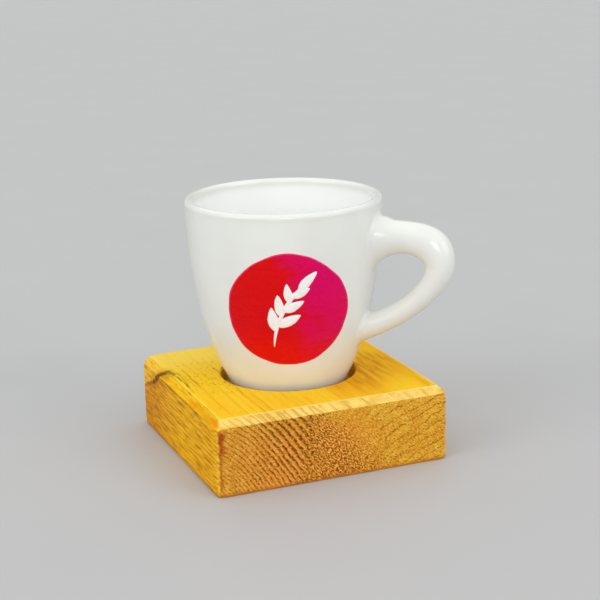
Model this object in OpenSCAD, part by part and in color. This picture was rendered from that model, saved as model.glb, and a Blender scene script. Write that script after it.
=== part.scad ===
// Espresso cup with an ear handle, standing in the bored seat of its own wooden block.
// Millimetres, +Z up, +X along the handle, origin under the cup's axis on the table.

/* [Wooden block] */
// Side of the square block
block_side = 80; // [74:1:100]
// Height of the block
block_h = 25; // [18:1:40]
// Width of the chamfer round the top edges
block_chamfer = 2.5; // [1:0.5:4]
// Rounding of the upright edges
edge_r = 1.2; // [0.6:0.2:3]
// Turn of the block under the handle, seen from above
block_turn = 42; // [0:1:90]
// Width of the narrower of the two boards glued edge to edge
narrow_board_w = 32.5; // [22:0.5:40]
// Depth of the round seat bored into the top
seat_depth = 6; // [4:0.5:10]
// Gap between the cup and the mouth of the seat
seat_gap = 1.7; // [1:0.1:4]
// Chamfer round the mouth of the seat
seat_chamfer = 0.6; // [0.3:0.1:1.2]

/* [Cup] */
// Outside diameter over the rim
rim_d = 65; // [58:0.5:72]
// Height from the foot to the rim
cup_h = 66; // [60:0.5:74]
// Radius of the long curve down the side
side_r = 187.5; // [150:2.5:240]
// Radius of the belly below the turn
belly_r = 121; // [105:1:140]
// Height of the turn from side to belly
turn_h = 27; // [22:0.5:32]
// Thickness of the wall
wall = 2.8; // [2:0.1:3.6]
// How far the rolled rim stands proud of the wall
rim_bead = 0.1; // [0.1:0.05:0.3]
// Thickness of the bottom
bottom_t = 3.5; // [2.5:0.25:5]
// Height of the foot ring
foot_h = 2.5; // [1.5:0.25:3.5]
// How far the foot ring stands in from the belly above it
foot_inset = 2.3; // [1:0.1:4]
// Width of the foot ring
foot_w = 3; // [2:0.25:5]

/* [Handle] */
// Reach of the ear from the cup's axis to its outer edge
handle_reach = 57.5; // [52:0.5:64]
// Drop from the rim to the middle of the upper root
upper_root_drop = 14.4; // [13.6:0.1:18]
// Drop from the rim to the outermost point of the ear
bend_drop = 20.8; // [19:0.1:24]
// Height of the lower root above the foot
lower_root_h = 21.2; // [18:0.1:24]
// Thickness of the upper arm
upper_arm_t = 11.8; // [8:0.1:12]
// Thickness at the outer bend
bend_t = 8.4; // [6:0.1:10]
// Thickness of the lower arm
lower_arm_t = 7.1; // [5:0.1:9]
// Width of the upper arm
upper_arm_w = 9.6; // [7:0.1:13]
// Width of the lower arm
lower_arm_w = 8.4; // [6:0.1:12]
// Swell where the upper arm joins the wall
upper_flare = 3.8; // [1:0.1:4]
// Swell where the lower arm joins the wall
lower_flare = 1.7; // [0.5:0.1:3]

/* [Painted decoration] */
// Direction of the patch from the handle, seen from above
patch_angle = -67.8; // [-100:0.1:-60]
// Height of the patch's middle above the foot
patch_h = 34.4; // [30:0.1:40]
// Diameter of the patch
patch_d = 38; // [30:0.5:42]
// Thickness of the coloured enamel
patch_t = 0.2; // [0.15:0.05:0.4]
// Thickness of the white enamel on it
motif_t = 0.25; // [0.15:0.05:0.4]
// Length of the painted sprig as a share of the patch
sprig_share = 0.7; // [0.5:0.02:0.74]

/* [Hidden] */
$fn = 120;
fine_fn = 360;
big = 200;
over = 1;

// Level of the seat's floor, on which the foot ring stands
seat_z = block_h - seat_depth;
seam_x = narrow_board_w - block_side / 2;
bottom_chamfer = 0.6;

// Side curve, upright at the rim
rim_r = rim_d / 2 - rim_bead;
lip_r = wall / 2 + rim_bead;
side_cx = rim_r - side_r;
side_lean = asin((cup_h - turn_h) / side_r);
turn_r = side_cx + side_r * cos(side_lean);
// Belly curve, which breaks inward a little at the turn
belly_break = 2;
belly_lean = side_lean + belly_break;
belly_cx = turn_r - belly_r * cos(belly_lean);
belly_cz = turn_h + belly_r * sin(belly_lean);
turn_lap = 4;

// Outer radius of the cup at a height above its foot
function cup_r(h) =
    h > turn_h
    ? side_cx + sqrt(side_r ^ 2 - (cup_h - h) ^ 2)
    : belly_cx + sqrt(belly_r ^ 2 - (belly_cz - h) ^ 2);

// Hollow of the bottom, foot ring and seat
floor_h = foot_h + bottom_t;
bowl_r = rim_r - wall + 0.4;
foot_r = cup_r(foot_h) - foot_inset;
foot_taper = 0.6;
seat_r = cup_r(seat_depth) + seat_gap;

// Ear's centre line: two curves that meet upright at the outermost point
root_in = 8;
upper_root_h = cup_h - upper_root_drop;
upper_root = [cup_r(upper_root_h) - root_in, upper_root_h];
lower_root = [cup_r(lower_root_h) - root_in, lower_root_h];
bend = [handle_reach - bend_t / 2, cup_h - bend_drop];
upper_rise = 14.4;
upper_pull = 26;
bend_up = 5;
bend_down = 7;
lower_rise = 7.3;
lower_pull = 19.8;
upper_curve = [
    upper_root,
    upper_root + upper_pull * [cos(upper_rise), sin(upper_rise)],
    bend + [0, bend_up],
    bend
];
lower_curve = [
    bend,
    bend - [0, bend_down],
    lower_root + lower_pull * [cos(lower_rise), sin(lower_rise)],
    lower_root
];
// Thickness and width at places along the line, which runs from 0 to 2
root_share = 0.81;
ear_thickness = [
    [0.25, root_share * upper_arm_t],
    [0.6, upper_arm_t],
    [1, bend_t],
    [1.45, lower_arm_t]
];
ear_width = [[0.6, upper_arm_w], [1.5, lower_arm_w]];
flare_l = 4;
flare_w_share = 0.7;
ear_steps = 44;
ear_sides = 24;

// Sprig: a bowed stem with leaves in pairs and one at the tip
sprig_l = sprig_share * patch_d;
sprig_lean = 62;
stem_bow = 0.12 * sprig_l;
stem_t = 0.05 * sprig_l;
stem_r = (sprig_l ^ 2 / 4 + stem_bow ^ 2) / (2 * stem_bow);
leaf_l = 0.32 * sprig_l;
leaf_t = 0.125 * sprig_l;
leaf_lean = 38;
leaf_pairs = 3;
leaf_shrink = 0.1;
first_leaf = 0.26 * sprig_l;
leaf_step = 0.2 * sprig_l;
leaf_stagger = 0.035 * sprig_l;
leaf_root = 0.03 * sprig_l;
tip_leaf = [0.78 * sprig_l, 0.075 * sprig_l];
tip_lean = -16;

// Points on a cubic curve and the way it runs there
function on_curve(p, t) =
    (1 - t) ^ 3 * p[0] + 3 * (1 - t) ^ 2 * t * p[1] + 3 * (1 - t) * t ^ 2 * p[2] + t ^ 3 * p[3];
function run_of(p, t) =
    (1 - t) ^ 2 * (p[1] - p[0]) + 2 * (1 - t) * t * (p[2] - p[1]) + t ^ 2 * (p[3] - p[2]);
function ear_at(s) = s < 1 ? on_curve(upper_curve, s) : on_curve(lower_curve, s - 1);
function ear_run(s) = s < 1 ? run_of(upper_curve, s) : run_of(lower_curve, s - 1);

// Swell of the ear near the wall and its half thickness and half width along the line
function flare_at(s) =
    let (p = ear_at(s))
    (s < 1 ? upper_flare : lower_flare) * exp(-max(p[0] - cup_r(p[1]), 0) / flare_l);
function half_t(s) = lookup(s, ear_thickness) / 2 + flare_at(s);
function half_w(s) = lookup(s, ear_width) / 2 + flare_at(s) * flare_w_share;

// One ring of points round the ear's line
function ear_ring(s) =
    let (c = ear_at(s), d = ear_run(s), n = [-d[1], d[0]] / norm(d))
    [
        for (k = [0 : ear_sides - 1])
        let (a = 360 * k / ear_sides, u = half_t(s) * cos(a))
        [c[0] + n[0] * u, half_w(s) * sin(a), c[1] + n[1] * u]
    ];

// Half outline of the cup's solid shape, its faces moved out by grow
module side_outline(grow, low, high) {
    intersection() {
        translate([0, low])
            square([big, high - low]);
        translate([side_cx, cup_h])
            circle(r = side_r + grow, $fn = fine_fn);
        union() {
            translate([belly_cx, belly_cz])
                circle(r = belly_r + grow, $fn = fine_fn);
            translate([0, turn_h + turn_lap])
                square([big, big]);
        }
    }
}

// Half outline of the hollow inside the cup
module hollow_outline() {
    intersection() {
        side_outline(-wall, foot_h, cup_h + over);
        union() {
            translate([0, floor_h + bowl_r])
                circle(r = bowl_r, $fn = fine_fn);
            translate([0, floor_h + bowl_r])
                square([big, big]);
        }
    }
}

// Half outline of the foot ring, tapered to where it stands
module foot_outline() {
    polygon([
        [foot_r - foot_w - foot_taper, foot_h + over],
        [foot_r - foot_w, 0],
        [foot_r - foot_taper, 0],
        [foot_r, foot_h + over]
    ]);
}

// Solid of revolution inside the cup's outer face
module cup_solid() {
    rotate_extrude()
        side_outline(0, foot_h, cup_h - lip_r);
}

// Thin coat on the cup's outer face, cut to the outline that is its child
module coat(inner, outer) {
    translate([0, 0, seat_z])
        rotate([0, 0, patch_angle])
            intersection() {
                rotate_extrude(angle = 180, start = -90)
                    difference() {
                        side_outline(outer, foot_h, cup_h - lip_r);
                        side_outline(inner, 0, cup_h);
                    }
                translate([0, 0, patch_h])
                    rotate([90, 0, 90])
                        linear_extrude(rim_d)
                            children();
            }
}

// Rounded patch with sides of unlike bow, as a broad brush leaves it
module patch_outline() {
    bows = [0.62, 0.74, 0.66, 0.8, 0.7, 0.64];
    turns = [8, 64, 131, 187, 246, 305];
    intersection_for (k = [0 : len(bows) - 1])
        rotate(turns[k])
            translate([patch_d / 2 - bows[k] * patch_d, 0])
                circle(r = bows[k] * patch_d);
}

// Region between two arcs that share their ends, along +X
module leaf(length, thick) {
    r = (length ^ 2 / 4 + thick ^ 2 / 4) / thick;
    intersection_for (side = [-1, 1])
        translate([length / 2, side * (r - thick / 2)])
            circle(r = r);
}

// Tapered stem: the crescent between two arcs of unlike bow
module stem(length, bow, thick) {
    high = bow + thick / 2;
    low = bow - thick / 2;
    r_high = (length ^ 2 / 4 + high ^ 2) / (2 * high);
    r_low = (length ^ 2 / 4 + low ^ 2) / (2 * low);
    difference() {
        translate([length / 2, high - r_high])
            circle(r = r_high, $fn = fine_fn);
        translate([length / 2, low - r_low])
            circle(r = r_low, $fn = fine_fn);
        translate([-big / 2, -big])
            square([2 * big, big]);
    }
}

// Stem and leaves, centred on the patch
module sprig_outline() {
    rotate(sprig_lean)
        translate([-sprig_l / 2, -stem_bow / 2]) {
            stem(sprig_l, stem_bow, stem_t);
            for (k = [0 : leaf_pairs - 1]) {
                x = first_leaf + leaf_step * k;
                y = stem_bow - stem_r + sqrt(stem_r ^ 2 - (x - sprig_l / 2) ^ 2);
                size = 1 - leaf_shrink * k;
                for (side = [-1, 1])
                    translate([x - side * leaf_stagger, y])
                        rotate(side * leaf_lean)
                            translate([-leaf_root, 0])
                                leaf(leaf_l * size, leaf_t * size);
            }
            translate(tip_leaf)
                rotate(tip_lean)
                    leaf(leaf_l, leaf_t * (1 - leaf_shrink));
        }
}

// Outline of the block seen from its end
module end_outline() {
    w = block_side / 2;
    polygon([
        [-w + bottom_chamfer, 0],
        [w - bottom_chamfer, 0],
        [w, bottom_chamfer],
        [w, block_h - block_chamfer],
        [w - block_chamfer, block_h],
        [-w + block_chamfer, block_h],
        [-w, block_h - block_chamfer],
        [-w, bottom_chamfer]
    ]);
}

// Square plan of the block with rounded corners
module plan_outline() {
    w = block_side / 2 - edge_r;
    square([2 * w, block_side], center = true);
    square([block_side, 2 * w], center = true);
    for (x = [-w, w], y = [-w, w])
        translate([x, y])
            circle(r = edge_r);
}

// Whole block: chamfered all round the top, with the seat bored in
module bored_block() {
    difference() {
        intersection() {
            linear_extrude(block_h)
                plan_outline();
            for (turn = [0, 90])
                rotate([90, 0, turn])
                    linear_extrude(block_side, center = true)
                        end_outline();
        }
        translate([0, 0, seat_z])
            cylinder(r = seat_r, h = block_h);
        translate([0, 0, block_h - seat_chamfer])
            cylinder(r1 = seat_r, r2 = seat_r + seat_chamfer + over, h = seat_chamfer + over);
    }
}

// Board from one side of the glue line
module board(from_x, to_x) {
    rotate([0, 0, block_turn])
        intersection() {
            bored_block();
            translate([from_x, -block_side, -over])
                cube([to_x - from_x, 2 * block_side, block_h + 2 * over]);
        }
}

module narrow_board() {
    color([0.84, 0.58, 0.16])
        board(-block_side, seam_x);
}

module wide_board() {
    color([0.88, 0.63, 0.18])
        board(seam_x, block_side);
}

// Turned bowl with a rolled rim and a foot ring
module cup_body() {
    color([0.95, 0.95, 0.93])
        translate([0, 0, seat_z])
            rotate_extrude() {
                difference() {
                    side_outline(0, foot_h, cup_h - lip_r);
                    hollow_outline();
                }
                translate([rim_r - wall / 2, cup_h - lip_r])
                    circle(r = lip_r);
                foot_outline();
            }
}

// Ear handle: rings lofted along its line, cut to sit on the wall
module cup_handle() {
    rings = [for (i = [0 : ear_steps]) ear_ring(2 * i / ear_steps)];
    sides = [
        for (i = [0 : ear_steps - 1], k = [0 : ear_sides - 1])
        let (a = i * ear_sides + k, b = i * ear_sides + (k + 1) % ear_sides)
        each [[a, b, b + ear_sides], [a, b + ear_sides, a + ear_sides]]
    ];
    first = [for (k = [ear_sides - 1 : -1 : 0]) k];
    last = [for (k = [0 : ear_sides - 1]) ear_steps * ear_sides + k];
    color([0.94, 0.94, 0.92])
        translate([0, 0, seat_z])
            difference() {
                polyhedron([for (r = rings) each r], concat(sides, [first, last]));
                cup_solid();
            }
}

module painted_patch() {
    color([0.81, 0.06, 0.13])
        coat(0, patch_t)
            patch_outline();
}

module painted_motif() {
    color([0.97, 0.95, 0.93])
        coat(patch_t, patch_t + motif_t)
            sprig_outline();
}

narrow_board();
wide_board();
cup_body();
cup_handle();
painted_patch();
painted_motif();
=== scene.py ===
from functools import partial, reduce
from math import acos, asin, atan2, copysign, cos, e, hypot, pi, radians, sin, sqrt, tan

import bmesh
import bpy
import numpy as np
from mathutils import Matrix, Vector, noise


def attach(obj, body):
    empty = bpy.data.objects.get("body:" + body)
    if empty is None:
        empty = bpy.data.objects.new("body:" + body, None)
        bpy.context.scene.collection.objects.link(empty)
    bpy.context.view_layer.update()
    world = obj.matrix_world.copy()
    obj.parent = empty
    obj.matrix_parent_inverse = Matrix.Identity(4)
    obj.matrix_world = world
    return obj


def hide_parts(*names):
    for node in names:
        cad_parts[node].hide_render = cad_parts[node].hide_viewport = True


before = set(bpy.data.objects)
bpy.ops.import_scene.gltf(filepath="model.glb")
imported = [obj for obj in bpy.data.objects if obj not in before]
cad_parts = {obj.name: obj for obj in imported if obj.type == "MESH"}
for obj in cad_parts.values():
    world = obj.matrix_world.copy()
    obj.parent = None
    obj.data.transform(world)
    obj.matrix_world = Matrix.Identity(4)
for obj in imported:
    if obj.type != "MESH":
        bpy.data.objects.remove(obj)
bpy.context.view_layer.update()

scene = bpy.context.scene
MM = 0.001

# Block, in millimetres
BLOCK_SIDE = 80.0
BLOCK_H = 25.0
CHAMFER = 2.5
BOTTOM_CHAMFER = 0.6
BLOCK_TURN = radians(42)
SEAM_X = -7.5
SAW_SLANT = radians(-42)
SEAT_DEPTH = 6.0
SEAT_GAP = 1.7
SEAT_Z = BLOCK_H - SEAT_DEPTH

# Cup, heights above its foot
CUP_H = 66.0
WALL = 2.8
RIM_R = 32.4
LIP_R = 1.5
SIDE_R = 187.5
BELLY_R = 121.0
TURN_H = 27.0
TURN_ANGLE = radians(2)
TURN_EASE = 5.0
FOOT_H = 2.5
FOOT_W = 3.0
FOOT_TAPER = 0.6
FOOT_INSET = 2.3
FLOOR_H = 6.0
BOWL_R = 30.0
SIDE_CX = RIM_R - SIDE_R
SIDE_LEAN = asin((CUP_H - TURN_H) / SIDE_R)
BELLY_LEAN = SIDE_LEAN + TURN_ANGLE
BELLY_CX = SIDE_CX + SIDE_R * cos(SIDE_LEAN) - BELLY_R * cos(BELLY_LEAN)
BELLY_CZ = TURN_H + BELLY_R * sin(BELLY_LEAN)

# Painted coat and sprig
PATCH_ANGLE = radians(-67.8)
PATCH_H = 34.4
PATCH_D = 38.0
PATCH_T = 0.2
MOTIF_T = 0.25
SPRIG_L = 0.7 * PATCH_D


def smooth(x, low, high):
    """0 below low, 1 above high, eased between."""
    t = np.clip((np.asarray(x, float) - low) / (high - low), 0, 1)
    return t * t * (3 - 2 * t)


def cup_r(h, grow=0.0):
    """Outer radius of the bowl, moved out by grow, with its turn eased."""
    h = np.asarray(h, float)
    side = SIDE_CX + np.sqrt((SIDE_R + grow) ** 2 - (CUP_H - h) ** 2)
    belly = BELLY_CX + np.sqrt((BELLY_R + grow) ** 2 - (BELLY_CZ - h) ** 2)
    return belly + (side - belly) * smooth(h, TURN_H - TURN_EASE, TURN_H + TURN_EASE)


def srgb(r, g, b):
    """Linear colour of an 8-bit screen colour, with alpha."""
    def linear(v):
        v /= 255
        return v / 12.92 if v <= 0.04045 else ((v + 0.055) / 1.055) ** 2.4
    return (linear(r), linear(g), linear(b), 1.0)


# ---------------- materials

class Graph:
    """A material's node tree with one principled shader, written in few words."""

    def __init__(self, name):
        self.material = bpy.data.materials.new(name)
        self.material.use_nodes = True
        self.tree = self.material.node_tree
        self.tree.nodes.clear()
        out = self.tree.nodes.new("ShaderNodeOutputMaterial")
        self.shader = self.tree.nodes.new("ShaderNodeBsdfPrincipled")
        self.tree.links.new(self.shader.outputs[0], out.inputs[0])

    def put(self, socket, value):
        """Link an output to the socket, or set a plain value."""
        if isinstance(value, bpy.types.NodeSocket):
            self.tree.links.new(value, socket)
        elif value is not None:
            socket.default_value = value

    def node(self, kind, inputs=(), **props):
        """New node with its settings and inputs."""
        made = self.tree.nodes.new(kind)
        for key, value in props.items():
            setattr(made, key, value)
        for key, value in dict(inputs).items():
            self.put(made.inputs[key], value)
        return made

    def out(self, kind, inputs, socket=0, **props):
        """One output of a new node."""
        return self.node(kind, inputs, **props).outputs[socket]

    def set(self, **sockets):
        """Inputs of the principled shader, with _ for a space."""
        for key, value in sockets.items():
            self.put(self.shader.inputs[key.replace("_", " ")], value)

    def math(self, op, a, b=None, clamp=False):
        return self.out("ShaderNodeMath", {0: a, 1: b}, operation=op, use_clamp=clamp)

    def add(self, a, b):
        return self.math("ADD", a, b)

    def minus(self, a, b):
        return self.math("SUBTRACT", a, b)

    def times(self, *values):
        return reduce(partial(self.math, "MULTIPLY"), values)

    def most(self, *values):
        return reduce(partial(self.math, "MAXIMUM"), values)

    def band(self, value, low, high, out_low=0.0, out_high=1.0):
        """Smooth step from out_low at low to out_high at high."""
        limits = {0: value, 1: low, 2: high, 3: out_low, 4: out_high}
        return self.out("ShaderNodeMapRange", limits, interpolation_type="SMOOTHSTEP")

    def mix(self, share, a, b):
        return self.out("ShaderNodeMix", {0: share, 6: a, 7: b}, 2, data_type="RGBA")

    def tint(self, colour, screen, *shares):
        """The colour under a coat of an 8-bit screen colour, as strong as the shares' product."""
        return self.mix(self.times(*shares), colour, srgb(*screen))

    def vec(self, op, a, b=None, scale=None):
        socket = "Value" if op in ("DOT_PRODUCT", "LENGTH", "DISTANCE") else "Vector"
        inputs = {0: a, 1: b} if scale is None else {0: a, "Scale": scale}
        return self.out("ShaderNodeVectorMath", inputs, socket, operation=op)

    def noise(self, vector, scale=1.0, detail=2.0, rough=0.5, warp=0.0):
        return self.out("ShaderNodeTexNoise", {"Vector": vector, "Scale": scale, "Detail": detail,
                                               "Roughness": rough, "Distortion": warp})

    def stretch(self, vector, sx, sy, sz):
        return self.vec("MULTIPLY", vector, (sx, sy, sz))

    def grain(self, vector, scales, detail=2.0, rough=0.5, warp=0.0):
        """Noise with its own scale along each axis."""
        return self.noise(self.stretch(vector, *scales), 1.0, detail, rough, warp)

    def pushed(self, point, way, amount):
        """The point moved along way by amount."""
        return self.vec("ADD", point, self.vec("SCALE", way, scale=amount))

    def place(self, turn=0.0, shift=(0.0, 0.0, 0.0)):
        """The piece's own coordinates in millimetres, turned about Z, then shifted."""
        coords = self.out("ShaderNodeTexCoord", (), "Object")
        return self.out("ShaderNodeMapping", {"Vector": coords, "Location": shift,
                                              "Rotation": (0, 0, turn), "Scale": (1 / MM,) * 3})

    def split(self, vector):
        return tuple(self.node("ShaderNodeSeparateXYZ", {0: vector}).outputs)

    def bump(self, height, depth_mm):
        return self.out("ShaderNodeBump", {"Height": height, "Distance": depth_mm * MM})

    def stroke(self, point, a, b, width, soft):
        """1 on the line from a to b, 0 beyond width + soft."""
        a = Vector(a)
        run = Vector(b) - a
        rel = self.vec("SUBTRACT", point, tuple(a))
        along = self.vec("DOT_PRODUCT", rel, tuple(run))
        t = self.math("DIVIDE", along, run.length_squared, clamp=True)
        foot = self.vec("SCALE", tuple(run), scale=t)
        gap = self.vec("DISTANCE", rel, foot)
        return self.band(gap, width + soft, width)


def glaze(name, hollow=False):
    """White glazed ware: clear gloss with faint waves, pinholes and a bare foot ring; with hollow,
    the inside is painted whiter as painted light.
    """
    g = Graph(name)
    p = g.place()
    z = g.split(p)[2]
    cloud = g.noise(p, 0.05, 2)
    colour = g.mix(g.band(cloud, 0.3, 0.7), srgb(236, 238, 232), srgb(231, 232, 225))
    # Painted light: the inside gets a whiter glaze colour than the outside, standing in for the
    # brighter light inside the cup.
    if hollow:
        normal = g.out("ShaderNodeTexCoord", (), "Normal")
        inward = g.vec("DOT_PRODUCT", normal, g.vec("NORMALIZE", g.stretch(p, 1, 1, 0)))
        inside = g.times(g.band(inward, 0.1, -0.1), g.band(z, SEAT_Z + FOOT_H, SEAT_Z + FLOOR_H),
                         g.band(z, SEAT_Z + CUP_H - 1.0, SEAT_Z + CUP_H - 4.0))
        colour = g.mix(inside, colour, g.mix(cloud, srgb(250, 251, 249), srgb(247, 248, 245)))
    pin = g.out("ShaderNodeTexVoronoi", {"Vector": p, "Scale": 0.11}, "Distance")
    speck = g.band(pin, 0.030, 0.016)
    colour = g.tint(colour, (150, 140, 128), speck, 0.35)
    bare = g.band(z, SEAT_Z + 0.9, SEAT_Z + 0.5)
    biscuit = g.mix(g.noise(p, 1.6, 3), srgb(226, 220, 206), srgb(205, 197, 180))
    colour = g.mix(bare, colour, biscuit)
    gloss = g.band(g.noise(p, 0.12, 3), 0.3, 0.75, 0.10, 0.17)
    gloss = g.most(gloss, g.times(bare, 0.75))
    wave = g.add(g.noise(p, 0.09, 1), g.times(g.noise(p, 0.9, 2), 0.03))
    wave = g.minus(wave, g.times(speck, 0.08))
    g.set(Base_Color=colour, Roughness=gloss, Normal=g.bump(wave, 0.25))
    g.set(Specular_IOR_Level=0.5, IOR=1.5)
    return g.material


def enamel(name):
    """Brushed red coat that runs over to magenta at the upper right."""
    g = Graph(name)
    p = g.place(-PATCH_ANGLE, (0, 0, -(SEAT_Z + PATCH_H)))
    u, v = g.split(p)[1:]
    drift = g.grain(p, (0, 0.09, 0.12), 3, 0.55, 0.5)
    side = g.add(g.times(u, 0.06), g.times(v, 0.014))
    side = g.add(side, g.times(g.minus(drift, 0.5), 1.3))
    share = g.band(side, -0.1, 0.7)
    colour = g.mix(share, srgb(221, 8, 12), srgb(225, 2, 86))
    colour = g.tint(colour, (220, 0, 104), share, g.band(v, -3.0, 11.0), 0.6)
    colour = g.tint(colour, (234, 22, 12), g.band(v, -5, -15), 0.7)
    streaks = g.grain(p, (0, 0.16, 0.9), 3, 0.55, 0.8)
    colour = g.tint(colour, (168, 4, 26), g.band(streaks, 0.5, 0.78, 0, 0.4))
    colour = g.tint(colour, (232, 30, 60), g.band(streaks, 0.42, 0.22, 0, 0.3))
    rim = g.out("ShaderNodeAttribute", (), "Fac", attribute_name="edge_mm")
    frayed = g.add(rim, g.times(g.minus(g.noise(p, 0.8, 2), 0.5), 0.7))
    colour = g.tint(colour, (236, 96, 128), g.band(frayed, 0.5, 0.05, 0, 0.6))
    gloss = g.band(g.noise(p, 0.5, 3), 0.3, 0.75, 0.2, 0.34)
    relief = g.add(g.times(streaks, 0.6), g.times(g.noise(p, 1.2, 2), 0.25))
    g.set(Base_Color=colour, Roughness=gloss, Normal=g.bump(relief, 0.05))
    g.set(Specular_IOR_Level=0.1)
    return g.material


def white_enamel(name):
    """White strokes, a little thinner and pinker where the brush lifted."""
    g = Graph(name)
    p = g.place(-PATCH_ANGLE, (0, 0, -(SEAT_Z + PATCH_H)))
    thin = g.noise(p, 0.9, 3)
    colour = g.mix(g.band(thin, 0.45, 0.8, 0, 0.5), srgb(252, 248, 244), srgb(240, 220, 216))
    gloss = g.band(g.noise(p, 0.8, 2), 0.3, 0.7, 0.18, 0.32)
    g.set(Base_Color=colour, Roughness=gloss, Normal=g.bump(g.noise(p, 1.8, 2), 0.05))
    g.set(Specular_IOR_Level=0.4)
    return g.material


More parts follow.
